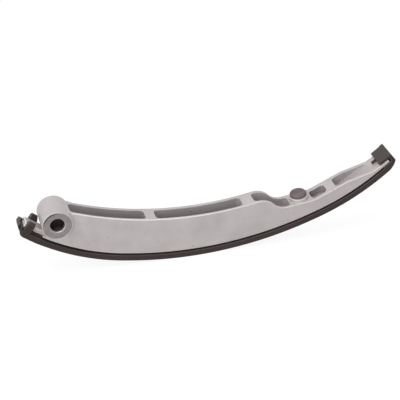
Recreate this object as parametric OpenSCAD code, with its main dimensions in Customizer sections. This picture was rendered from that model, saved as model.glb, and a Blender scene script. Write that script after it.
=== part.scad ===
// Pivoting chain guide: a die-cast arm, a clip-on plastic slipper and a pressed-in steel button.
// X runs along the arm from the pivot to the tip, Y along the pivot bore, Z up on the hollow side.
// The origin is the middle of the pivot bore.

/* [Pivot boss] */
// Diameter of the pivot bore
bore_d = 10; // [8:0.1:12]
// Outer diameter of the pivot boss
boss_d = 21.6; // [20.6:0.1:22]
// Length of the pivot boss along its bore
boss_l = 24; // [20:0.5:30]
// Diameter of the machined ring on each end of the boss
spot_d = 20; // [16:0.1:20.4]
// Depth of the machined ring below the cast end
spot_depth = 0.6; // [0.2:0.1:1]
// Chamfer at the mouths of the bore
bore_chamfer = 0.6; // [0.3:0.1:1.2]
// Chamfer round the cast ends of the boss
boss_chamfer = 0.4; // [0.2:0.1:0.6]

/* [Arm casting] */
// Width of the arm between its side faces
body_w = 16; // [13:0.5:19]
// Thickness of the two side walls
wall_t = 3; // [2:0.1:4]
// Thickness of the floor under the pockets
floor_t = 4; // [3:0.1:6]
// Corner radius of the pockets
pocket_r = 2.4; // [1.5:0.1:3]
// Thickness of the tip that the slipper hooks round
tip_t = 2.3; // [1.8:0.1:2.8]
// Length of the tip beyond the end of the curved sole
tip_l = 5.9; // [4:0.1:7]
// Thickness of the tongue beside the boss
tongue_t = 3.4; // [2.5:0.1:4.5]
// Width of the tongue
tongue_w = 9.6; // [8:0.1:11]
// Distance of the tongue's end from the pivot
tongue_reach = 22.4; // [19:0.1:22.5]
// Slope of the sole where the full-width body stops under the boss, in degrees
body_slope = 33.5; // [31:0.1:36]

/* [Sole curve] */
// Radius of the sole near the pivot
sole_r_pivot = 150; // [140:1:160]
// Radius of the sole along the middle
sole_r_middle = 266; // [250:1:280]
// Radius of the sole near the tip
sole_r_tip = 167; // [155:1:180]
// Distance of the sole's lowest point from the pivot
sole_low_x = 95; // [90:0.5:100]
// Depth of the sole's lowest point below the pivot
sole_low = 37; // [34:0.5:40]
// Slope of the sole where the pivot-end curve takes over, in degrees
join_slope_pivot = 11.2; // [9:0.1:13]
// Slope of the sole where the tip-end curve takes over, in degrees
join_slope_tip = 21.6; // [19:0.1:24]
// Slope of the sole at the tip, in degrees
sole_end_slope = 40; // [38:0.5:42]

/* [Hollow side] */
// Radius of the long hollow curve
hollow_r = 242; // [230:1:255]
// Distance of the hollow curve's lowest point from the pivot
hollow_low_x = 98.4; // [95:0.1:102]
// Depth of the hollow curve's lowest point below the pivot
hollow_low = 10; // [8:0.1:12]
// Distance of the crest from the pivot
crest_x = 143.7; // [138:0.1:147]
// Radius over the crest
crest_r = 14; // [12:0.5:16]
// Radius of the dip beside the button
dip_r = 11.6; // [10:0.2:13]
// Depth of the dip below the pivot
dip_low = 13.5; // [12.5:0.1:14.5]
// Slope of the pad that carries the button, in degrees
pad_slope = 8; // [5:0.5:11]
// Distance of the end of the pad from the pivot
pad_end_x = 187.5; // [186.5:0.1:189]
// Slope of the arm's back beyond the pad, in degrees
rise_slope = 25; // [23:0.5:27]
// Distance of the end of that rise from the pivot
rise_end_x = 211.5; // [209:0.5:214]
// Distance of the thin tip's start from the pivot
taper_end_x = 231; // [228:0.5:233]
// Height of the thin tip's start above the pivot
taper_end_z = 6.4; // [5.8:0.1:7]

/* [Pockets and ribs] */
// Distance of the first pocket's start from the pivot
first_pocket_x = 9.7; // [9:0.1:11]
// Distance of the first rib from the pivot, to its middle
rib_1_x = 66.7; // [55:0.1:80]
// Distance of the second rib from the pivot, to its middle
rib_2_x = 138; // [125:0.1:140]
// Thickness of the first rib
rib_1_t = 7.2; // [4:0.1:10]
// Thickness of the second rib
rib_2_t = 8.4; // [4:0.1:10]
// Distance of the tip-side rib from the pivot, to its middle
rib_3_x = 200.5; // [199:0.1:202]
// Thickness of the tip-side rib
rib_3_t = 6.2; // [4:0.1:7]
// Wall left between the button's seat and the hump's pocket
seat_wall = 0.8; // [0.4:0.1:1.2]
// Wall left between the button's seat and the small pocket
seat_wall_tip = 1.8; // [1:0.1:2.4]
// Width of the small pocket beside the button
small_pocket_w = 8.6; // [7:0.1:10]
// Distance of the run-out of the tip pocket's ramp from the pivot
ramp_end_x = 227; // [220:0.5:229]
// Depth of the tip pocket's ramp at the tip-side rib
ramp_depth = 9; // [6:0.5:10]

/* [Boss cheeks] */
// Direction of the ramps from the boss down to the side faces, in degrees above X
cheek_turn = 18; // [10:1:25]
// Distance from the bore at which the ramps begin
cheek_from = 3; // [0:0.5:6]
// Distance from the bore at which the ramps end
cheek_to = 14.5; // [12.5:0.5:17]
// Cheek left below the boss
cheek_drop = 0.6; // [0.2:0.1:1.5]
// Slope of the cheeks' lower edge, in degrees
cheek_slope = 28.8; // [26:0.2:31]

/* [Tensioner button] */
// Diameter of the button's head
button_d = 12; // [10:0.1:12.6]
// Height of the button's head above its seat
button_h = 2.8; // [1.5:0.1:3.5]
// Chamfer round the button's head
button_chamfer = 0.9; // [0.4:0.1:1.2]
// Diameter of the button's shank
shank_d = 7; // [5:0.1:8]
// Length of the button's shank
shank_l = 8; // [5:0.5:10]
// Distance of the button's middle from the dip, along the pad
button_from_dip = 11; // [10:0.1:11.4]
// Rim of the seat round the button's head
seat_rim = 1; // [0.6:0.1:1.2]
// Height of the seat above the pad
seat_h = 2.6; // [0.8:0.1:3]
// Clearance under the shank in its hole
shank_clear = 0.4; // [0.2:0.1:1]

/* [Slipper] */
// Width of the slipper
slipper_w = 17; // [15.5:0.1:20]
// Thickness of the slipper's strip
slipper_t = 5.5; // [4:0.1:7]
// Clearance between the slipper and the arm
fit_gap = 0.2; // [0.1:0.05:0.4]
// Distance of the strip's plain end from the pivot
strip_reach = 25.6; // [24.5:0.1:27]
// Radius under the strip's plain end
strip_end_r = 3; // [1.5:0.1:4]
// Width of the slot in the strip's plain end
end_slot_w = 5.6; // [4:0.1:6]
// Depth of the slot in the strip's plain end
end_slot_l = 1.9; // [1.5:0.1:2.4]
// How far the strip's plain end leans back, square to the sole, behind the slot
end_lean = 1.9; // [1:0.1:2.6]
// Radius in plan at the front corner of the strip's plain end
end_corner_r = 2.5; // [1.5:0.1:4]
// Height of the end stop behind the tongue
stop_h = 2; // [1:0.1:2.4]
// Width of the end stop
stop_w = 5.9; // [4:0.1:7]
// Clearance between the end stop and the tongue
stop_gap = 0.4; // [0.2:0.1:0.6]
// Width of the lip in front of the slot
lip_w = 2; // [1.4:0.1:2.3]
// Width of the rebates along the strip's upper edges
rebate_w = 2.4; // [1.5:0.1:3]
// Depth of the rebates along the strip's upper edges
rebate_t = 1.2; // [0.6:0.1:1.8]

/* [Slipper hook] */
// Thickness of the hook's return flange
flange_t = 2; // [1.5:0.1:2.5]
// Width of the hook's return flange
flange_w = 16; // [14:0.1:17]
// Length of the return flange back from the hook's end
flange_l = 11.2; // [9:0.1:12]
// Clearance between the flange and the arm's tip
flange_gap = 1; // [0.5:0.1:1.4]
// Thickness of the hook's end wall
hook_wall = 3.1; // [2.4:0.1:4]
// Clearance between the end of the arm's tip and the hook's end wall
hook_gap = 1; // [0.6:0.1:1.6]
// Radius under the hook, where the chain leaves the slipper
hook_r = 14; // [11:0.5:17]
// Length of the locating rib ahead of the flange
rib_reach = 3.8; // [2:0.1:5]
// Width of the locating rib
rib_w = 2; // [1.4:0.1:3]
// Thickness of the locating rib
rib_t = 1.2; // [0.8:0.1:1.6]

/* [Slipper ears] */
// Height of the front ear above the strip
front_ear_h = 6.2; // [5.5:0.1:8]
// Length of the front ear along the strip
front_ear_l = 5.4; // [4:0.1:6]
// Distance of the front ear's foot from the pivot, to its middle
front_ear_x = 20; // [19.5:0.1:21]
// Height of the rear ear above the strip
rear_ear_h = 7.4; // [5.5:0.1:8]
// Length of the rear ear along the strip
rear_ear_l = 4; // [3:0.1:5]
// Distance of the rear ear's foot from the pivot, to its middle
rear_ear_x = 17.3; // [17:0.1:18]
// Overhang of the ears' barbs above the tongue
barb = 0.9; // [0.4:0.1:1.4]
// Bevel on the ears' outer corners
ear_bevel = 1.4; // [0.6:0.1:2]
// Corner nipped off the front ear, on the side of the plain end
ear_nip = 2; // [0.5:0.1:2.6]
// Flare of the rear ear's foot towards the boss
ear_flare = 2.2; // [0.5:0.1:2.4]

/* [Hidden] */
$fn = 96;
// Facets of the large arcs in the preview mesh
fine = 720;
// Steps in the pockets' round corners
corner_steps = 6;
// Overlap that lets cuts run clean through a face
cut = 1;
// Degrees by which the end arcs of the sole run on inside the middle one
overlap_turn = 5;
// Overlap of curves that meet at a tangent, so that they cross cleanly
crossing = 0.02;
sole_crossing = 0.06;
// Degrees by which the tip turns away from the end of the sole, for the same reason
tip_turn = 1.5;
// How far the ears and the end stop stand in from the strip's side
side_step = 0.2;
// A height and a depth safely beyond the part
sky_z = 240;
far = 400;

// Unit direction from a curve's centre to the point where the curve has this slope
function down(slope) = [sin(slope), -cos(slope)];
function along(slope) = [cos(slope), sin(slope)];

// Centres of the three tangent arcs of the sole
sole_mid_c = [sole_low_x, sole_r_middle - sole_low];
pivot_shift = sole_r_middle - sole_r_pivot + sole_crossing;
tip_shift = sole_r_middle - sole_r_tip + sole_crossing;
sole_pivot_c = sole_mid_c + pivot_shift * down(-join_slope_pivot);
sole_tip_c = sole_mid_c + tip_shift * down(join_slope_tip);
sole_end = sole_tip_c + sole_r_tip * down(sole_end_slope);
// Slope of the sole at a distance behind the pivot
function slope_at(reach) = -asin((sole_pivot_c.x + reach) / sole_r_pivot);
tongue_slope = slope_at(tongue_reach);

// Arcs of the hollow side, each tangent to the next
hollow_c = [hollow_low_x, hollow_r - hollow_low];
crest_slope = asin((crest_x - hollow_low_x) / hollow_r);
crest_c = hollow_c + (hollow_r + crest_r - crossing) * down(crest_slope);
dip_z = dip_r - dip_low;
dip_shift = crest_r + dip_r - crossing;
dip_c = [crest_c.x + sqrt(pow(dip_shift, 2) - pow(dip_z - crest_c.y, 2)), dip_z];
dip_start = crest_c + crest_r * (dip_c - crest_c) / dip_shift;
pad_start = dip_c + (dip_r - crossing) * down(pad_slope);
pad_end = [pad_end_x, pad_start.y + (pad_end_x - pad_start.x) * tan(pad_slope)];
rise_end = [rise_end_x, pad_end.y + (rise_end_x - pad_end_x) * tan(rise_slope)];
taper_end = [taper_end_x, taper_end_z];
tip_slope = sole_end_slope - tip_turn;
tip_top = sole_end + tip_t * along(tip_slope + 90);

// Button and its seat, on the pad
seat_d = button_d + 2 * seat_rim;
seat_at = pad_start + button_from_dip * along(pad_slope);

// Pockets: from and to along X, and width
pocket_w = body_w - 2 * wall_t;
pockets = [
    [first_pocket_x, rib_1_x - rib_1_t / 2, pocket_w],
    [rib_1_x + rib_1_t / 2, rib_2_x - rib_2_t / 2, pocket_w],
    [rib_2_x + rib_2_t / 2, seat_at.x - seat_d / 2 - seat_wall, pocket_w],
    [seat_at.x + seat_d / 2 + seat_wall_tip, rib_3_x - rib_3_t / 2, small_pocket_w],
];
tip_pocket = [rib_3_x + rib_3_t / 2, ramp_end_x + 2 * pocket_r, pocket_w];

// Hook, in the frame of the sole's end: along the sole and square to it
hook_end = tip_l + hook_gap + hook_wall;
flange_low = tip_t + flange_gap;
hook_top = flange_low + flange_t;
strip_low = -fit_gap - slipper_t;

// Turns an XZ drawing into a slab across Y
module across(width) {
    rotate([90, 0, 0]) linear_extrude(width, center = true) children();
}

// Moves a solid to the sole, where it has this slope, with X along the sole and Z square to it
module on_sole(slope) {
    at = sole_pivot_c + sole_r_pivot * down(slope);
    translate([at.x, 0, at.y]) rotate([0, -slope, 0]) children();
}

// Moves a side view to the end of the sole, in line with the tip
module on_sole_end() {
    translate(sole_end) rotate(tip_slope) children();
}

module disc(centre, radius) {
    translate(centre) circle(radius, $fn = fine);
}

// Sector of a disc between two slopes of its edge
module sector(centre, radius, from, to) {
    reach = 1.2 * radius;
    intersection() {
        disc(centre, radius);
        polygon([centre, centre + reach * down(from), centre + reach * down(to)]);
    }
}

// Everything on the hollow side of the sole curve, or of a curve inset from it
module above_sole(inset, from, to) {
    sector(sole_pivot_c, sole_r_pivot - inset, from, overlap_turn - join_slope_pivot);
    sector(sole_mid_c, sole_r_middle - inset, -join_slope_pivot, join_slope_tip);
    sector(sole_tip_c, sole_r_tip - inset, join_slope_tip - overlap_turn, to);
}

// Open space over the arm's back, from the boss to the tip
module open_back() {
    tip_beyond = tip_top + 2 * tip_l * along(tip_slope);
    crest_up = -down(crest_slope);
    difference() {
        union() {
            intersection() {
                disc(hollow_c, hollow_r);
                translate([crest_c.x + cut - far, -far]) square([far, 2 * far]);
            }
            disc(dip_c, dip_r);
            polygon([
                crest_c + crest_r / 2 * crest_up, dip_start, dip_c, pad_start, pad_end, rise_end,
                taper_end, tip_top, tip_beyond, [tip_beyond.x, sky_z], crest_c + sky_z * crest_up
            ]);
        }
        disc(crest_c, crest_r);
    }
}

// Side view of the arm without its boss and tongue
module arm_side() {
    difference() {
        union() {
            above_sole(0, -body_slope, sole_end_slope + tip_turn);
            on_sole_end() translate([-2 * cut, 0]) square([2 * cut + tip_l, 3 * tip_t]);
        }
        open_back();
    }
}

// Cheeks: the side faces ramp out to the ends of the boss
module cheeks() {
    edge = boss_d / 2 + cheek_drop;
    ramp_x = cheek_to + (cheek_to - cheek_from) / 2;
    ramp_y = body_w / 2 - (boss_l - body_w) / 4;
    intersection() {
        across(boss_l) difference() {
            arm_side();
            rotate(-cheek_slope) translate([-far, -far - edge]) square([2 * far, far]);
        }
        rotate([0, -cheek_turn, 0]) translate([0, 0, -far / 2]) linear_extrude(far) polygon([
            [-boss_d, boss_l / 2], [cheek_from, boss_l / 2], [ramp_x, ramp_y],
            [ramp_x, -ramp_y], [cheek_from, -boss_l / 2], [-boss_d, -boss_l / 2]
        ]);
    }
}

// Round bar on the bore's line, with its two end edges chamfered
module boss() {
    half = boss_l / 2;
    r = boss_d / 2;
    rotate([90, 0, 0]) rotate_extrude() polygon([
        [0, -half], [r - boss_chamfer, -half], [r, boss_chamfer - half],
        [r, half - boss_chamfer], [r - boss_chamfer, half], [0, half]
    ]);
}

// The bore, its chamfered mouths and the two machined rings
module bore_cuts() {
    face = boss_l / 2 - spot_depth;
    r = bore_d / 2;
    rotate([90, 0, 0]) rotate_extrude() polygon([
        [0, -face - cut], [spot_d / 2, -face - cut], [spot_d / 2, -face],
        [r + bore_chamfer, -face], [r, bore_chamfer - face],
        [r, face - bore_chamfer], [r + bore_chamfer, face],
        [spot_d / 2, face], [spot_d / 2, face + cut], [0, face + cut]
    ]);
}

// Bar that the slipper's ears straddle
module tongue() {
    across(tongue_w) difference() {
        sector(sole_pivot_c, sole_r_pivot, tongue_slope, overlap_turn - body_slope);
        disc(sole_pivot_c, sole_r_pivot - tongue_t);
    }
}

// A quarter turn of points round a corner's centre
function corner(centre, turn) =
    [for (k = [0:corner_steps]) centre + pocket_r * along(turn + 90 * k / corner_steps)];

// A pocket's upright space, with its four corners rounded
module pocket(span) {
    left = span[0] + pocket_r;
    right = span[1] - pocket_r;
    back = span[2] / 2 - pocket_r;
    translate([0, 0, -sky_z]) linear_extrude(2 * sky_z) polygon(concat(
        corner([right, back], 0), corner([left, back], 90),
        corner([left, -back], 180), corner([right, -back], 270)
    ));
}

// The four deep pockets, down to a floor that follows the sole
module deep_pockets() {
    intersection() {
        across(body_w) above_sole(floor_t, -body_slope, sole_end_slope);
        for (span = pockets) pocket(span);
    }
}

// The tip pocket, whose floor ramps up to the arm's back
module ramp_pocket() {
    function back_z(x) = x < rise_end.x
        ? pad_end.y + (x - pad_end.x) * tan(rise_slope)
        : rise_end.y + (x - rise_end.x) * (taper_end.y - rise_end.y) / (taper_end.x - rise_end.x);
    from = tip_pocket[0];
    floor_z = back_z(from) - ramp_depth;
    steep = (back_z(ramp_end_x) - floor_z) / (ramp_end_x - from);
    beyond = 2 * pocket_r;
    intersection() {
        pocket(tip_pocket);
        across(body_w) polygon([
            [from - beyond, floor_z - beyond * steep],
            [ramp_end_x + 2 * beyond, floor_z + (ramp_end_x + 2 * beyond - from) * steep],
            [ramp_end_x + 2 * beyond, sky_z], [from - beyond, sky_z]
        ]);
    }
}

// Moves a solid to the middle of the button's seat, with Z square to the pad
module on_pad() {
    translate([seat_at.x, 0, seat_at.y]) rotate([0, -pad_slope, 0]) children();
}

module arm() {
    color([0.72, 0.70, 0.69]) difference() {
        union() {
            difference() {
                union() {
                    across(body_w) arm_side();
                    cheeks();
                }
                deep_pockets();
                ramp_pocket();
            }
            boss();
            tongue();
            on_pad() translate([0, 0, -cut]) cylinder(d = seat_d, h = cut + seat_h);
        }
        bore_cuts();
        on_pad() translate([0, 0, seat_h - shank_l - shank_clear])
            cylinder(d = shank_d, h = shank_l + shank_clear + cut);
    }
}

// Side view of what is cut away beyond the strip's plain end, with a radius below it
module strip_end_side() {
    round_x = strip_end_r - strip_reach - crossing;
    round_r = sole_r_pivot - strip_low - strip_end_r + crossing;
    round_c = [round_x, sole_pivot_c.y - sqrt(pow(round_r, 2) - pow(round_x - sole_pivot_c.x, 2))];
    outwards = (round_c - sole_pivot_c) / round_r;
    translate([-strip_reach - far, -far]) square([far, 2 * far]);
    difference() {
        polygon([
            [-strip_reach - cut, round_c.y], round_c, round_c + 2 * strip_end_r * outwards,
            [-strip_reach - cut, round_c.y - 2 * strip_end_r]
        ]);
        translate(round_c) circle(strip_end_r);
    }
}

// Side view of the strip that the chain runs on and of the hook round the arm's tip
module slipper_side() {
    start = slope_at(strip_reach + slipper_t);
    difference() {
        union() {
            above_sole(strip_low, start, sole_end_slope + tip_turn);
            on_sole_end() translate([-2 * cut, strip_low])
                square([2 * cut + hook_end, hook_top - strip_low]);
        }
        above_sole(-fit_gap, start - overlap_turn, sole_end_slope + tip_turn);
        disc(sole_mid_c, sole_r_middle / 2);
        strip_end_side();
        on_sole_end() {
            translate([-4 * cut, -fit_gap])
                square([4 * cut + tip_l + hook_gap, hook_top + fit_gap + cut]);
            difference() {
                translate([0, strip_low - cut]) square([hook_end + cut, hook_r + cut]);
                translate([0, strip_low + hook_r - crossing]) circle(hook_r);
            }
        }
    }
}

// Rebates along the strip's upper edges, so that only its middle carries the arm
module rebates() {
    start = slope_at(strip_reach + slipper_t);
    for (side = [-1, 1]) translate([0, side * slipper_w / 2, 0]) across(2 * rebate_w)
        above_sole(-fit_gap - rebate_t, start, sole_end_slope);
}

// What is cut from the strip's plain end: the slot, the lean behind it and the front corner
module end_cuts() {
    slot_y = slipper_w / 2 - lip_w - end_slot_w / 2;
    reach = 4 * end_lean;
    translate([-strip_reach - cut, -slot_y - end_slot_w / 2, -far])
        cube([end_slot_l + cut, end_slot_w, 2 * far]);
    on_sole(slope_at(strip_reach - end_lean))
        translate([-reach, -slot_y, -reach]) cube([reach, slipper_w, 2 * reach]);
    translate([0, 0, -far]) linear_extrude(2 * far) difference() {
        translate([-strip_reach - cut, -slipper_w / 2 - cut]) square(end_corner_r + cut);
        translate((end_corner_r - crossing) * [1, 1] - [strip_reach, slipper_w / 2])
            circle(end_corner_r);
    }
}

// End stop behind the tongue, with its outer side sloped off
module end_stop() {
    outer = slipper_w / 2 - side_step;
    inner = outer - stop_w;
    foot_z = -fit_gap - rebate_t - cut;
    length = 4 * end_lean;
    on_sole(tongue_slope) translate([-stop_gap - length / 2, 0, 0])
        rotate([90, 0, 90]) linear_extrude(length, center = true) polygon([
            [inner, foot_z], [inner, stop_h], [inner + stop_h / 2, stop_h], [outer, 0],
            [outer, foot_z]
        ]);
}

// The hook's return flange and the locating rib ahead of it
module flange_side() {
    translate([hook_end - flange_l, flange_low]) square([flange_l, flange_t]);
}

module rib_side() {
    translate([hook_end - flange_l - rib_reach, flange_low]) square([rib_reach + cut, rib_t]);
}

// An ear beside the tongue, with a barb over the tongue and a bevelled outer corner.
// Its side view may have one upper corner nipped off and its foot flared
module ear(height, length, nip, flare) {
    inner = tongue_w / 2 + fit_gap;
    outer = slipper_w / 2 - side_step;
    barb_z = tongue_t + fit_gap;
    foot_z = -fit_gap - rebate_t - cut;
    half = length / 2;
    intersection() {
        rotate([90, 0, 90]) linear_extrude(4 * length, center = true) polygon([
            [inner, foot_z], [inner, barb_z], [inner - barb, barb_z], [inner, height],
            [outer - ear_bevel, height], [outer, height - ear_bevel], [outer, foot_z]
        ]);
        across(2 * slipper_w) polygon([
            [-half, foot_z - cut], [half + flare, foot_z - cut], [half + flare, barb_z],
            [half, height + cut], [nip - half - cut, height + cut], [-half, height - nip]
        ]);
    }
}

module slipper() {
    color([0.26, 0.22, 0.21]) {
        difference() {
            union() {
                difference() {
                    across(slipper_w) slipper_side();
                    rebates();
                }
                end_stop();
            }
            end_cuts();
        }
        across(flange_w) on_sole_end() flange_side();
        across(rib_w) on_sole_end() rib_side();
        on_sole(slope_at(front_ear_x)) mirror([0, 1, 0])
            ear(front_ear_h, front_ear_l, ear_nip, 0);
        on_sole(slope_at(rear_ear_x)) ear(rear_ear_h, rear_ear_l, 0, ear_flare);
    }
}

module tensioner_button() {
    r = button_d / 2;
    color([0.50, 0.46, 0.46]) on_pad() translate([0, 0, seat_h]) rotate_extrude() polygon([
        [0, -shank_l], [shank_d / 2, -shank_l], [shank_d / 2, 0], [r, 0],
        [r, button_h - button_chamfer], [r - button_chamfer, button_h], [0, button_h]
    ]);
}

arm();
slipper();
tensioner_button();
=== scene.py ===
# %% [markdown]
# A pivoting chain guide, in three pieces: a die-cast aluminium arm, a dark moulded slipper that
# clips round it, and a small steel button that the tensioner pushes on. The shapes come from the
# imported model. This lesson gives each piece the soft edges and the surface that casting, moulding
# and turning leave behind. We begin by loading the model and keeping its box.

# %% Load the model
import math

import bmesh
import bpy
from mathutils import Matrix, Vector
from mathutils.bvhtree import BVHTree


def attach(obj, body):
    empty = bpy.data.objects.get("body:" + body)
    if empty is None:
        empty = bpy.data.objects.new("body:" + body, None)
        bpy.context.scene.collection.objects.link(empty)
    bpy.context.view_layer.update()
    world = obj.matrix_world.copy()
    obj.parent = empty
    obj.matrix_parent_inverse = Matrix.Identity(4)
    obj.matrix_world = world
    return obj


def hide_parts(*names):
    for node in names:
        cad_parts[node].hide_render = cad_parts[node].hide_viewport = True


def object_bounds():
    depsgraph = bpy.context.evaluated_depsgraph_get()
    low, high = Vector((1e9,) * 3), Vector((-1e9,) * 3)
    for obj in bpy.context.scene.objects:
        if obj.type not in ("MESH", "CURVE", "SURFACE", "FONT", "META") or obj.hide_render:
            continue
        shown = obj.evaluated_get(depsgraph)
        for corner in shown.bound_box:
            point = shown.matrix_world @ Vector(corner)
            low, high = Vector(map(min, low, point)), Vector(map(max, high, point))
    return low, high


MM = 0.001
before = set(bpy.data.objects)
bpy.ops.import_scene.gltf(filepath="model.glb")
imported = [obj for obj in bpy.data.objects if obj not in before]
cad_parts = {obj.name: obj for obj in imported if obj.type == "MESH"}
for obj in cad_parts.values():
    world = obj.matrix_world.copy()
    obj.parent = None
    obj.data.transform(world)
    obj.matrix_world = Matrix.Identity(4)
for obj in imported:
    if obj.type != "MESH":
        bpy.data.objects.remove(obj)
cad_box = [list(corner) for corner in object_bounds()]
low, high = (Vector(corner) for corner in cad_box)
print("model", [round(v / MM, 1) for v in (high - low)], "mm")

# %% [markdown]
# The camera looks down on the guide from the front, a little from the left, through a long lens.
# Its place follows from four readings of the photograph: the two angles, the lens, and where the
# middle of the pivot bore falls in the 400 by 400 frame. The bore's middle is the model's origin,
# so the camera is set back from there and then moved aside, with no shift of the lens.

# %% Camera
AZIMUTH = math.radians(-15.2)
ELEVATION = math.radians(30.6)
FRAME_PX = 400
LENS_PX = 1240
PIVOT_PX = (54.75, 217.4)
PIVOT_DEPTH = 852.5 * MM
SENSOR_MM = 36

right = Vector((math.cos(AZIMUTH), math.sin(AZIMUTH), 0))
back = Vector((
    math.sin(AZIMUTH) * math.cos(ELEVATION),
    -math.cos(AZIMUTH) * math.cos(ELEVATION),
    math.sin(ELEVATION),
))
up = back.cross(right)
px = PIVOT_DEPTH / LENS_PX
aside = (FRAME_PX / 2 - PIVOT_PX[0]) * px
above = (PIVOT_PX[1] - FRAME_PX / 2) * px
eye = right * aside + up * above + back * PIVOT_DEPTH

lens = bpy.data.cameras.new("camera")
lens.sensor_width = SENSOR_MM
lens.lens = LENS_PX * SENSOR_MM / FRAME_PX
camera = bpy.data.objects.new("camera", lens)
turn = Matrix((right, up, back)).transposed().to_4x4()
camera.matrix_world = Matrix.Translation(eye) @ turn
bpy.context.scene.collection.objects.link(camera)
bpy.context.scene.camera = camera
print("camera", [round(v, 3) for v in eye], "lens", round(lens.lens, 1), "mm")

# %% [markdown]
# Every finish is a small tree of nodes around one Principled shader. It could be drawn by hand in
# the shader editor. Here a few helpers add a node and join sockets, so that each finish below
# reads as a list of what it is made of.

# %% Helpers for nodes
def finish(name):
    """A new material, its nodes and its Principled shader."""
    material = bpy.data.materials.new(name)
    material.use_nodes = True
    tree = material.node_tree
    return material, tree, tree.nodes["Principled BSDF"]


def add(tree, kind, **settings):
    """A node of this kind with its settings and unlinked inputs filled in."""
    node = tree.nodes.new(kind)
    for key, value in settings.items():
        if key in node.inputs:
            node.inputs[key].default_value = value
        else:
            setattr(node, key, value)
    return node


def on_object(tree, kind, **settings):
    """A node of this kind that reads the piece's own coordinates."""
    place = add(tree, "ShaderNodeTexCoord")
    node = add(tree, kind, **settings)
    tree.links.new(place.outputs["Object"], node.inputs["Vector"])
    return node


def combine(tree, operation, first, second):
    """One value from two, by an operation of the Math node."""
    node = add(tree, "ShaderNodeMath", operation=operation)
    tree.links.new(first, node.inputs[0])
    tree.links.new(second, node.inputs[1])
    return node.outputs[0]


print("helpers ready: finish, add, on_object, combine")

# %% [markdown]
# Metal and plastic are never even: cast metal has clouds, cut metal has smears, and both have
# grain. Pictures could be painted for that, but a noise on the piece's own coordinates has no
# seams and keeps its true size. A ramp turns such a noise into colour, and a span turns it into a
# range of roughness. The middle of a noise, from 0.3 to 0.7, holds nearly all of it.

# %% Helpers for texture
def noise(tree, size_mm, detail=3):
    """Noise on object coordinates, with features of about this size."""
    node = on_object(tree, "ShaderNodeTexNoise", Scale=1 / (size_mm * MM), Detail=detail)
    return node.outputs["Fac"]


def ramp(tree, value, low_colour, high_colour, low_in=0.3, high_in=0.7):
    """A colour that runs from one to another as the value does."""
    node = add(tree, "ShaderNodeValToRGB")
    first, last = node.color_ramp.elements
    first.position, first.color = low_in, (*low_colour, 1)
    last.position, last.color = high_in, (*high_colour, 1)
    tree.links.new(value, node.inputs["Fac"])
    return node.outputs["Color"]


def span(tree, value, low_out, high_out, low_in=0.3, high_in=0.7):
    """A value spread from one range to another, and clamped there."""
    node = add(tree, "ShaderNodeMapRange")
    for key, number in zip(("From Min", "From Max", "To Min", "To Max"),
                           (low_in, high_in, low_out, high_out)):
        node.inputs[key].default_value = number
    tree.links.new(value, node.inputs["Value"])
    return node.outputs["Result"]


print("helpers ready: noise, ramp, span")

# %% [markdown]
# A used surface is built up in layers: its own colour, then what has rubbed or stained it, then
# painted light and shade, and relief that is too fine to model. The rounded edges are marked on
# the mesh itself when they are rounded further down, and the mark carries both their wear and a
# painted highlight, so that both follow the real edges.

# %% Helpers for layers
# mark on the faces for the paler colour of wear, painted highlight and painted top light
WEAR_AND_LIGHT = "edge_wear_and_painted_light"
LEAST_WEAR_AND_LIGHT = 0.45


def over(tree, below, colour, share):
    """One colour laid over another, as far as the share says."""
    node = add(tree, "ShaderNodeMix", data_type="RGBA")
    tree.links.new(share, node.inputs["Factor"])
    tree.links.new(below, node.inputs["A"])
    node.inputs["B"].default_value = (*colour, 1)
    return node.outputs["Result"]


def worn_and_lit_edges(tree, patches):
    """The mark of a rounded edge's wear and painted highlight, broken up by a noise."""
    mark = add(tree, "ShaderNodeAttribute", attribute_name=WEAR_AND_LIGHT)
    return combine(tree, "MULTIPLY", mark.outputs["Fac"], span(tree, patches, LEAST_WEAR_AND_LIGHT, 1.0))


def bump(tree, shader, heights):
    """Bump from (value, depth in mm) pairs, one over the other."""
    normal = None
    for value, depth_mm in heights:
        node = add(tree, "ShaderNodeBump", Strength=1.0, Distance=depth_mm * MM)
        tree.links.new(value, node.inputs["Height"])
        if normal is not None:
            tree.links.new(normal, node.inputs["Normal"])
        normal = node.outputs["Normal"]
    tree.links.new(normal, shader.inputs["Normal"])


def coat(tree, shader, colour, roughness, metallic=0.0, specular=0.5):
    """Gives the shader its colour and roughness, and two values that are even all over."""
    tree.links.new(colour, shader.inputs["Base Color"])
    tree.links.new(roughness, shader.inputs["Roughness"])
    shader.inputs["Metallic"].default_value = metallic
    shader.inputs["Specular IOR Level"].default_value = specular


print("helpers ready: over, worn_and_lit_edges, bump, coat")

# %% [markdown]
# Die-cast aluminium that has been tumbled is a warm light grey, neither shiny nor chalky. Its
# skin has a fine grain, broad pale and dark clouds from the metal's flow, and here and there a
# pinhole. The grain is bump, the clouds are colour, and the pinholes are both. The rounded edges
# are paler, partly from wear and partly as painted highlight. Inside the pockets the skin is
# painted darker, as painted shade, and a mark on those faces says by how much.

# %% Cast aluminium
CLOUD_MM = 14
GRAIN_MM = 0.5
PINHOLE_STEP_MM = 9
PINHOLE_EDGE = (0.035, 0.06)
CAST_DARK = (0.51, 0.468, 0.468)
CAST_PALE = (0.59, 0.545, 0.545)
# pale colour of the rounded edges: partly wear, partly painted highlight
CAST_WORN_AND_HIGHLIGHT = (0.92, 0.88, 0.88)
PINHOLE_STAIN = (0.24, 0.22, 0.215)
# painted shade inside the pockets, and the name of its mark on the faces
POCKET_SHADE = (0.03, 0.027, 0.027)
SHADE_MARK = "painted_pocket_shade"


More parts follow.
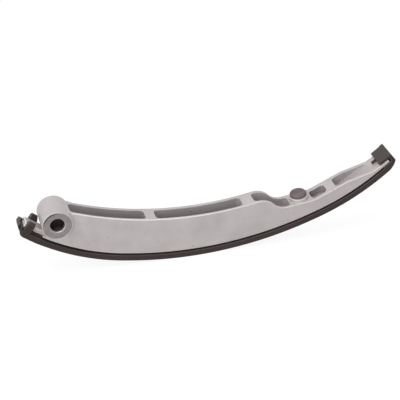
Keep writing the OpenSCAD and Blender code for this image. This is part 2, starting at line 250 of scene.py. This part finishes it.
def cast_finish():
    material, tree, shader = finish("cast_aluminium")
    clouds = noise(tree, CLOUD_MM, detail=4)
    grain = noise(tree, GRAIN_MM, detail=2)
    cells = on_object(tree, "ShaderNodeTexVoronoi", Scale=1 / (PINHOLE_STEP_MM * MM))
    pinholes = span(tree, cells.outputs["Distance"], 1, 0, *PINHOLE_EDGE)
    skin = ramp(tree, clouds, CAST_DARK, CAST_PALE)
    # rounded edges made paler: partly wear, partly painted highlight
    worn_and_lit = over(tree, skin, CAST_WORN_AND_HIGHLIGHT, worn_and_lit_edges(tree, grain))
    stained = over(tree, worn_and_lit, PINHOLE_STAIN, pinholes)
    # painted shade inside the pockets, as far as each face's mark says
    shade_share = add(tree, "ShaderNodeAttribute", attribute_name=SHADE_MARK)
    shaded = over(tree, stained, POCKET_SHADE, shade_share.outputs["Fac"])
    coat(tree, shader, shaded, roughness=span(tree, grain, 0.48, 0.62), metallic=0.35)
    bump(tree, shader, [(clouds, 0.08), (grain, 0.035), (pinholes, -0.08)])
    return material


cast = cast_finish()
print("finish", cast.name)

# %% [markdown]
# The two ends of the boss and the bore are cut on a lathe, so the tool leaves fine rings round
# the bore's line. A wave texture in rings about the Y axis does that. The metal is bare, so it
# mirrors its surroundings more sharply than the cast skin. On the upper left of the ring's outer
# edge lies a crescent of painted shadow, where the rim of the recess round the ring would cast
# it, so the dark follows the distance from the bore's line and the distance to that side. The
# mouth of the bore is polished by the pin that goes in and out.

# %% Machined aluminium
TOOL_STEP_MM = 6
CUT_SMEAR_MM = 3
CUT_DARK = (0.235, 0.215, 0.213)
CUT_PALE = (0.305, 0.283, 0.28)
# painted shadow: a dark crescent on the ring's upper left, and where it lies
RIM_SHADOW_PAINT = (0.02, 0.014, 0.013)
RIM_SHADOW_SIDE = (-0.6, 0, 0.8)
RIM_SHADOW_RADIUS = (8.7 * MM, 9.1 * MM)
RIM_SHADOW_REACH = (6 * MM, 9 * MM)
MOUTH_POLISH = (0.42, 0.4, 0.4)
MOUTH_RADIUS = (5.6 * MM, 5.8 * MM)


def round_the_bore(tree):
    """How far a point is from the bore's line, and how far out on the side of the painted rim
    shadow.
    """
    flat = on_object(tree, "ShaderNodeVectorMath", operation="MULTIPLY")
    flat.inputs[1].default_value = (1, 0, 1)
    radius = add(tree, "ShaderNodeVectorMath", operation="LENGTH")
    tree.links.new(flat.outputs["Vector"], radius.inputs[0])
    side = add(tree, "ShaderNodeVectorMath", operation="DOT_PRODUCT")
    side.inputs[1].default_value = RIM_SHADOW_SIDE
    tree.links.new(flat.outputs["Vector"], side.inputs[0])
    return radius.outputs["Value"], side.outputs["Value"]


def machined_finish():
    material, tree, shader = finish("machined_aluminium")
    rings = on_object(tree, "ShaderNodeTexWave", wave_type="RINGS", rings_direction="Y",
                      Scale=1 / (TOOL_STEP_MM * MM), Distortion=0.4, Detail=1)
    smear = noise(tree, CUT_SMEAR_MM)
    metal = ramp(tree, smear, CUT_DARK, CUT_PALE)
    radius, side = round_the_bore(tree)
    corner = combine(tree, "MULTIPLY", span(tree, radius, 0, 1, *RIM_SHADOW_RADIUS),
                     span(tree, side, 0, 1, *RIM_SHADOW_REACH))
    # the ring's painted shadow, laid over the bare metal
    rim_shadowed = over(tree, metal, RIM_SHADOW_PAINT, corner)
    polished = over(tree, rim_shadowed, MOUTH_POLISH, span(tree, radius, 1, 0, *MOUTH_RADIUS))
    coat(tree, shader, polished, roughness=span(tree, smear, 0.34, 0.46), metallic=0.7)
    bump(tree, shader, [(rings.outputs["Fac"], 0.012)])
    return material


machined = machined_finish()
print("finish", machined.name)

# %% [markdown]
# Inside the bore the metal is painted dark, as painted shade in the deep hole. The painted shade
# gives way to painted light at the mouths, so the colour follows the distance along the bore.

# %% Painted shade in the bore
BORE_SMEAR_MM = 4
# painted shade in the bore, deep and shallow, and painted light towards the mouths
BORE_SHADE_DEEP = (0.02, 0.011, 0.0105)
BORE_SHADE_SHALLOW = (0.11, 0.08, 0.078)
BORE_MOUTH_LIGHT = (0.30, 0.28, 0.275)
MOUTH_LIGHT_Y = (7 * MM, 11.4 * MM)
MOST_MOUTH_LIGHT = 0.35
LEAST_STREAK = 0.6


def bore_finish():
    material, tree, shader = finish("bore_painted_shade")
    axes = on_object(tree, "ShaderNodeSeparateXYZ")
    along = add(tree, "ShaderNodeMath", operation="ABSOLUTE")
    tree.links.new(axes.outputs["Y"], along.inputs[0])
    smear = noise(tree, BORE_SMEAR_MM)
    mouth_light = combine(tree, "MULTIPLY", span(tree, along.outputs[0], 0, MOST_MOUTH_LIGHT, *MOUTH_LIGHT_Y),
                    span(tree, smear, LEAST_STREAK, 1.0))
    # painted shade, lightened towards the mouths as painted light
    bore_shade = ramp(tree, smear, BORE_SHADE_DEEP, BORE_SHADE_SHALLOW, low_in=0.4, high_in=0.65)
    colour = over(tree, bore_shade, BORE_MOUTH_LIGHT, mouth_light)
    coat(tree, shader, colour, roughness=span(tree, smear, 0.4, 0.6), specular=0.05)
    bump(tree, shader, [(smear, 0.02)])
    return material


bore_shade_material = bore_finish()
print("finish", bore_shade_material.name)

# %% [markdown]
# The slipper is moulded in a dark brown filled plastic. It is matt with a weak sheen, a shade
# paler on its rounded edges, partly from wear and partly as painted highlight, and on faces that
# look up, as painted top light. Its tool was spark eroded, which leaves an even, fine pebble. The
# pebble is too fine to model, so it is bump and roughness.

# %% Moulded plastic
PEBBLE_MM = 0.35
FLOW_MM = 11
PLASTIC_DARK = (0.025, 0.0145, 0.0138)
PLASTIC_PALE = (0.037, 0.0235, 0.0222)
# paler colour of worn edges and up-facing faces: partly wear, partly painted top light
PLASTIC_WORN_AND_TOP_LIT = (0.085, 0.068, 0.064)


def plastic_finish():
    material, tree, shader = finish("slipper_plastic")
    pebble = noise(tree, PEBBLE_MM, detail=2)
    flow = noise(tree, FLOW_MM, detail=4)
    colour = ramp(tree, flow, PLASTIC_DARK, PLASTIC_PALE)
    worn_and_lit = over(tree, colour, PLASTIC_WORN_AND_TOP_LIT, worn_and_lit_edges(tree, pebble))
    coat(tree, shader, worn_and_lit, roughness=span(tree, pebble, 0.42, 0.58), specular=0.35)
    bump(tree, shader, [(flow, 0.05), (pebble, 0.025)])
    return material


plastic = plastic_finish()
print("finish", plastic.name)

# %% [markdown]
# The button is turned from steel, hardened and ground on top. Hardening darkens the steel, and
# grinding leaves fine scratches that all run one way. A noise squeezed across the scratches gives
# such lines, and it drives the roughness as well as the bump.

# %% Hardened steel
SCRATCH_MM = 1.6
SCRATCH_SQUEEZE = (1, 9, 1)
TEMPER_MM = 5
STEEL_DARK = (0.15, 0.119, 0.118)
STEEL_PALE = (0.2, 0.164, 0.162)


def steel_finish():
    material, tree, shader = finish("button_steel")
    squeeze = on_object(tree, "ShaderNodeMapping", Scale=SCRATCH_SQUEEZE)
    scratch = add(tree, "ShaderNodeTexNoise", Scale=1 / (SCRATCH_MM * MM), Detail=3)
    tree.links.new(squeeze.outputs["Vector"], scratch.inputs["Vector"])
    lines = scratch.outputs["Fac"]
    colour = ramp(tree, noise(tree, TEMPER_MM), STEEL_DARK, STEEL_PALE)
    coat(tree, shader, colour, roughness=span(tree, lines, 0.5, 0.66), metallic=0.3, specular=0.2)
    bump(tree, shader, [(lines, 0.02)])
    return material


steel = steel_finish()
print("finish", steel.name)

# %% [markdown]
# A CAD solid has knife edges, and nothing cast or moulded does. Each piece is a copy of its
# solid with the loose triangles merged and the flat ones joined again, and then every real edge
# is rounded. The copy is chosen over new modelling because its size and place are already right.

# %% Helpers for pieces
MERGE_MM = 0.002
FLAT = math.radians(0.6)
SHARP = math.radians(38)


def solid_copy(node, crumb_mm=MERGE_MM, crumbs=lambda v: True):
    """The node's mesh as a bmesh: triangles merged into whole faces, and crumbs of edges closed."""
    shape = bmesh.new()
    shape.from_mesh(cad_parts[node].data)
    bmesh.ops.remove_doubles(shape, verts=shape.verts, dist=MERGE_MM * MM)
    bmesh.ops.dissolve_limit(shape, angle_limit=FLAT, verts=shape.verts, edges=shape.edges)
    bmesh.ops.remove_doubles(shape, verts=[v for v in shape.verts if crumbs(v)],
                             dist=crumb_mm * MM)
    return shape


def soften(shape, width_mm, wanted, least_turn=50, segments=3):
    """Rounds the wanted edges that turn by more than this many degrees, and marks them for the
    paler colour of wear and painted highlight.
    """
    least = math.radians(least_turn)
    edges = [e for e in shape.edges
             if len(e.link_faces) == 2 and e.calc_face_angle(0) > least and wanted(e)]
    wear_and_light = shape.faces.layers.float.get(WEAR_AND_LIGHT) or shape.faces.layers.float.new(WEAR_AND_LIGHT)
    convex = all(e.is_convex for e in edges)
    made = bmesh.ops.bevel(shape, geom=edges, offset=width_mm * MM, offset_type="OFFSET",
                           affect="EDGES", segments=segments, profile=0.5, material=-1,
                           clamp_overlap=False, loop_slide=True)
    # the new rounded faces take the mark of wear and painted highlight
    for face in made["faces"]:
        face[wear_and_light] = 1.0 if convex else 0.0
    return len(edges)


def piece(name, shape, materials, node):
    """Makes the finished piece, which stands for its solid."""
    mesh = bpy.data.meshes.new(name)
    shape.to_mesh(mesh)
    shape.free()
    for material in materials:
        mesh.materials.append(material)
    mesh.shade_smooth()
    mesh.set_sharp_from_angle(angle=SHARP)
    made = bpy.data.objects.new(name, mesh)
    bpy.context.scene.collection.objects.link(made)
    even = made.modifiers.new("even_normals", "WEIGHTED_NORMAL")
    even.keep_sharp = True
    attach(made, "root")
    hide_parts(node)
    print(name, len(mesh.polygons), "faces")


print("helpers ready: solid_copy, soften, piece")

# %% [markdown]
# The arm is one casting, and its edges differ by how they were made. To round each kind by its own
# amount, an edge is told by where it lies: on a circle that the lathe cut, on the boss and the
# ramps that lead up to it, or anywhere else on the casting. Picking edges by hand would be lost
# each time that the model is packed again, and a place isn't.

# %% Edges of the arm
BORE_R = 5 * MM
RING_R = 10 * MM
RING_Y = 11.4 * MM
BOSS_R = 10.8 * MM
SIDE_Y = 8 * MM
CHAMFER = 0.7 * MM
HAIR = 0.06 * MM
DOWNWARD = -0.5
BODY_CRUMB_MM = 0.22


def from_bore(point):
    return math.hypot(point.x, point.z)


def turned(edge):
    """On one of the circles that the lathe cut."""
    return all(abs(v.co.y) > RING_Y - CHAMFER and from_bore(v.co) < RING_R + HAIR
               for v in edge.verts)


def at_boss(edge):
    """On the boss or on the lower part of the ramps that lead up to it."""
    return any(abs(v.co.y) > SIDE_Y + HAIR and v.co.z < 0 or from_bore(v.co) < BOSS_R + HAIR
               for v in edge.verts)


def under_cheek(edge):
    """Beside the narrow ledge under the ramps."""
    return any(abs(f.calc_center_median().y) > SIDE_Y + HAIR and f.normal.z < DOWNWARD
               for f in edge.link_faces)


def cast_edge(edge):
    return not at_boss(edge) and not under_cheek(edge)


def between_sides(v):
    """On the body of the arm, away from the boss."""
    return abs(v.co.y) < SIDE_Y + HAIR and from_bore(v.co) > BOSS_R


arm = solid_copy("arm", BODY_CRUMB_MM, between_sides)
print("arm", len(arm.edges), "edges, of them turned", sum(turned(e) for e in arm.edges))

# %% [markdown]
# Two forms of the pockets are brought closer to the photograph: the near wall is a little thinner
# than in the model, and the ramp near the tip runs out a little later. Both are small moves of
# corners that are already there, so the faces stay whole and no new modelling is needed.

# %% Pockets of the arm
POCKET_Y = 5 * MM
FIRST_POCKET_X = 9 * MM
SEAT_X = (170 * MM, 185 * MM)
NEAR_STRETCH = 1.24
RAMP_X = (203.6 * MM, 227 * MM)
RUN_OUT = Vector((230.6 * MM, 6.284 * MM))


def of_pocket(v):
    """Between the walls, from the boss to the tip, and off the button's seat."""
    between = -NEAR_STRETCH * POCKET_Y - HAIR < v.co.y < POCKET_Y + HAIR
    return between and v.co.x > FIRST_POCKET_X and not SEAT_X[0] < v.co.x < SEAT_X[1]


def thin_near_wall(shape):
    for v in shape.verts:
        if of_pocket(v) and v.co.y < 0 and from_bore(v.co) > BOSS_R + HAIR:
            v.co.y *= NEAR_STRETCH


def lengthen_ramp(shape):
    """Moves the end of the tip pocket's floor along the arm's back, and tilts the floor to it."""
    corners = [v for v in shape.verts if abs(v.co.y) < POCKET_Y + HAIR
               and RAMP_X[0] - HAIR < v.co.x < RAMP_X[1] + HAIR]
    start = min(corners, key=lambda v: v.co.z).co.copy()
    end = max(corners, key=lambda v: v.co.x).co.copy()
    steep = (end.z - start.z) / (end.x - start.x)
    new_steep = (RUN_OUT.y - start.z) / (RUN_OUT.x - start.x)
    for v in corners:
        ahead = v.co.x - start.x
        if abs(v.co.z - start.z - steep * ahead) < HAIR:
            if v.co.x > end.x - HAIR:
                v.co.x = RUN_OUT.x
                ahead = v.co.x - start.x
            v.co.z = start.z + new_steep * ahead


lengthen_ramp(arm)
thin_near_wall(arm)
print("near wall", round((SIDE_Y - NEAR_STRETCH * POCKET_Y) / MM, 2), "mm")

# %% [markdown]
# The casting's outer edges are round to about half a millimetre, and its inner corners, such as the
# one where the seat stands on the arm, are filled in nearly as much. The pockets' rims, where the
# die's cores met it, stay crisp, and so do the cut ends of the boss. Bevel rounds them all. The
# widest goes first, so that the narrow ones find clean edges.

# %% Round the arm's edges
OUTSIDE_MM = 0.55
INSIDE_MM = 0.4
RIM_MM = 0.15
CUT_MM = 0.1


def on_rim(edge):
    """On the upper edge of a pocket."""
    return edge.is_convex and all(of_pocket(v) for v in edge.verts)


outside = soften(arm, OUTSIDE_MM, lambda e: cast_edge(e) and e.is_convex and not on_rim(e))
inside = soften(arm, INSIDE_MM, lambda e: cast_edge(e) and not e.is_convex)
rims = soften(arm, RIM_MM, lambda e: cast_edge(e) and on_rim(e), segments=2)
crisp = soften(arm, CUT_MM, turned, least_turn=30, segments=2)
print("arm edges: outside", outside, "inside", inside, "rims", rims, "crisp", crisp)

# %% [markdown]
# The rounded edges are pale, partly from wear and partly as painted highlight: most on the near
# side, fainter on the far side and towards the tip. The pockets are painted a little darker
# inside, as painted shade, each by its own amount. Both are marks on the faces. A face lies inside
# a pocket when a ray to either side meets a wall.

# %% Wear, painted highlight and painted shade of the arm
# how much of the edges' wear and painted highlight shows on the far side and at the tip
FAR_WEAR_AND_HIGHLIGHT = 0.3
TIP_WEAR_AND_HIGHLIGHT = 0.4
FADE_X = (80 * MM, 140 * MM)
WALL_REACH = 13 * MM
LIFT = 0.3 * MM
# painted shade in each pocket: from and to along X in mm, and its share
POCKET_PAINTED_SHADE = (
    (9, 64, 0.12),
    (70, 134, 0.1),
    (142, 170, 0.04),
    (186, 198, 0.38),
    (203, 233, 0.1),
)


def wear_and_highlight_share(point):
    """How much of the edges' wear and painted highlight shows: less on the far side, and less
    towards the tip.
    """
    if point.y > POCKET_Y:
        return FAR_WEAR_AND_HIGHLIGHT
    along = (point.x - FADE_X[0]) / (FADE_X[1] - FADE_X[0])
    return 1 + (TIP_WEAR_AND_HIGHLIGHT - 1) * min(max(along, 0), 1)


def painted_shade_of(face, walls):
    """How much painted shade a face gets: a share by pocket where both side walls stand beside it,
    or else 0.
    """
    point = face.calc_center_median() + LIFT * face.normal
    hits = [walls.ray_cast(point, Vector((0, side, 0)), WALL_REACH)[0] for side in (-1, 1)]
    if None in hits:
        return 0.0
    return next((share for start, end, share in POCKET_PAINTED_SHADE
                 if start * MM < point.x < end * MM), 0.0)


arm.normal_update()
arm_walls = BVHTree.FromBMesh(arm)
wear_and_highlight = arm.faces.layers.float[WEAR_AND_LIGHT]
painted_shade = arm.faces.layers.float.new(SHADE_MARK)
# each face gets its pocket's painted shade and its share of wear and painted highlight
for face in arm.faces:
    face[painted_shade] = painted_shade_of(face, arm_walls)
    face[wear_and_highlight] *= wear_and_highlight_share(face.calc_center_median())
print("arm faces: worn", sum(f[wear_and_highlight] > 0 for f in arm.faces),
      "painted_shade", sum(f[painted_shade] > 0 for f in arm.faces))

# %% [markdown]
# The casting has three finishes on one mesh: the cast skin, bare metal on the ring and at the
# bore's mouths, and the bore, painted dark as painted shade. They could be three objects, but the
# real piece is one, so each face is given the number of its material instead.

# %% Finishes of the arm
CAST_SKIN, CUT_METAL, PAINTED_BORE = range(3)


def finish_of(point):
    """Which of the three finishes a face has, by its middle."""
    radius = from_bore(point)
    along = abs(point.y)
    if radius < RING_R and abs(along - RING_Y) < HAIR:
        return CUT_METAL
    if radius < BORE_R + HAIR and along < RING_Y:
        return PAINTED_BORE
    if radius < BORE_R + CHAMFER and along < RING_Y + HAIR:
        return CUT_METAL
    return CAST_SKIN


for face in arm.faces:
    face.material_index = finish_of(face.calc_center_median())
piece("cast_arm", arm, [cast, machined, bore_shade_material], "arm")

# %% [markdown]
# The slipper's strip and hook have round edges, and the corners of the flange's free end are
# rounder. Its clips at the pivot end are small and sharp in the tool, so theirs are only broken.
# Faces that look up are painted paler too, as painted top light, by the same mark as the worn
# edges. The locating rib gets none of that, so it stays dark, as painted shade.

# %% The slipper
FLANGE_CORNER_MM = 0.9
STRIP_MM = 0.4
CLIPS_MM = 0.14
CLIPS_X = -12 * MM
FLANGE_X = (228 * MM, 238 * MM)
FLANGE_Y = 7.9 * MM
HOOK_TILT = math.radians(38.5)
HOOK_UP = Vector((-math.sin(HOOK_TILT), 0, math.cos(HOOK_TILT)))
ALONG = 0.99
RIB_X = (231 * MM, 235.5 * MM)
RIB_LOW = 8 * MM


def on_clips(edge):
    return any(v.co.x < CLIPS_X for v in edge.verts)


def flange_corner(edge):
    """Upright at a corner of the hook's free end, square to its flange."""
    first, second = (v.co for v in edge.verts)
    there = FLANGE_X[0] < first.x < FLANGE_X[1] and abs(first.y) > FLANGE_Y
    return edge.is_convex and there and abs((second - first).normalized().dot(HOOK_UP)) > ALONG


def of_rib(face):
    point = face.calc_center_median()
    return RIB_X[0] < point.x < RIB_X[1] and point.z > RIB_LOW


slipper = solid_copy("slipper")
corners = soften(slipper, FLANGE_CORNER_MM, flange_corner, least_turn=60, segments=4)
rounded = soften(slipper, STRIP_MM, lambda e: e.is_convex and not on_clips(e), least_turn=30)
broken = soften(slipper, CLIPS_MM, lambda e: e.is_convex and on_clips(e), least_turn=30, segments=2)
worn_and_lit = slipper.faces.layers.float[WEAR_AND_LIGHT]
slipper.normal_update()
# faces that look up are painted paler as painted top light; the locating rib is kept dark as
# painted shade
for face in slipper.faces:
    face[worn_and_lit] = 0.0 if of_rib(face) else max(face[worn_and_lit], face.normal.z)
print("slipper edges: corners", corners, "rounded", rounded, "broken", broken)
piece("slipper_moulding", slipper, [plastic], "slipper")

# %% [markdown]
# The button is a small turned part, pressed into its seat on the arm. It has a ground chamfer, so
# its edges are only broken. A spin would make it too, but the copy of the solid already fits.

# %% The button
BUTTON_MM = 0.25
button = solid_copy("tensioner_button")
rounded = soften(button, BUTTON_MM, lambda e: e.is_convex, least_turn=30)
print("button edges rounded", rounded)
piece("plunger_button", button, [steel], "tensioner_button")

# %% [markdown]
# The guide stands on a white floor under a white sky. The camera sees both as plain white, and so
# does a mirroring surface, yet the floor still takes the soft shadow under the slipper. More light
# would whiten it too, but would wash out the casting, so the Light Path node tells the two apart.

# %% Floor
FLOOR_HALF = 3.0
FLOOR_DROP = 0.05 * MM
FLOOR_LIT = (0.55, 0.55, 0.55)
FLOOR_SEEN = (0.16, 0.16, 0.16)
FLOOR_GLOW = 0.9


def seen_directly(tree):
    """1 for rays that show the background as such, and 0 for rays that light the object."""
    path = add(tree, "ShaderNodeLightPath").outputs
    mirrored = combine(tree, "MAXIMUM", path["Is Camera Ray"], path["Is Glossy Ray"])
    return combine(tree, "MAXIMUM", mirrored, path["Is Transmission Ray"])


def floor_finish():
    material, tree, shader = finish("floor_white")
    seen = seen_directly(tree)
    tint = ramp(tree, seen, FLOOR_LIT, FLOOR_SEEN, low_in=0, high_in=1)
    tree.links.new(tint, shader.inputs["Base Color"])
    shader.inputs["Roughness"].default_value = 0.9
    shader.inputs["Specular IOR Level"].default_value = 0.0
    shader.inputs["Emission Color"].default_value = (1, 1, 1, 1)
    glow = span(tree, seen, 0, FLOOR_GLOW, low_in=0, high_in=1)
    tree.links.new(glow, shader.inputs["Emission Strength"])
    return material


ground = bmesh.new()
bmesh.ops.create_grid(ground, x_segments=1, y_segments=1, size=FLOOR_HALF)
bmesh.ops.translate(ground, verts=ground.verts, vec=(0, 0, low.z - FLOOR_DROP))
floor_mesh = bpy.data.meshes.new("floor")
ground.to_mesh(floor_mesh)
ground.free()
floor_mesh.materials.append(floor_finish())
floor = bpy.data.objects.new("floor", floor_mesh)
bpy.context.scene.collection.objects.link(floor)
print("floor at", round(low.z / MM, 2), "mm")

# %% [markdown]
# The sky gives even, soft light from all round. A large lamp above gives the pale rims, and a
# second one, lower and in front, lifts the side of the arm. Large lamps keep the shadows soft, as
# in a plain product photograph.

# %% Sky and lamps
SKY_LIGHT = 0.5
LAMP_WIDTH = 0.6
LAMPS = (
    ("key", (-0.2, -0.2, 0.75), 3.15),
    ("front", (-0.6, -0.9, 0.25), 3.6),
)
centre = (low + high) / 2


def lamp(name, place, power):
    """A square lamp that faces the middle of the guide."""
    light = bpy.data.lights.new(name, "AREA")
    light.size = LAMP_WIDTH
    light.energy = power
    made = bpy.data.objects.new(name, light)
    made.location = place
    made.rotation_euler = (Vector(place) - centre).to_track_quat("Z", "Y").to_euler()
    bpy.context.scene.collection.objects.link(made)
    print(name, power, "W")


sky = bpy.data.worlds.new("studio")
sky.use_nodes = True
shade = sky.node_tree.nodes["Background"]
shade.inputs["Color"].default_value = (1, 1, 1, 1)
seen = seen_directly(sky.node_tree)
strength = span(sky.node_tree, seen, SKY_LIGHT, 1, low_in=0, high_in=1)
sky.node_tree.links.new(strength, shade.inputs["Strength"])
bpy.context.scene.world = sky
for setting in LAMPS:
    lamp(*setting)
bpy.context.scene.view_settings.view_transform = "Standard"
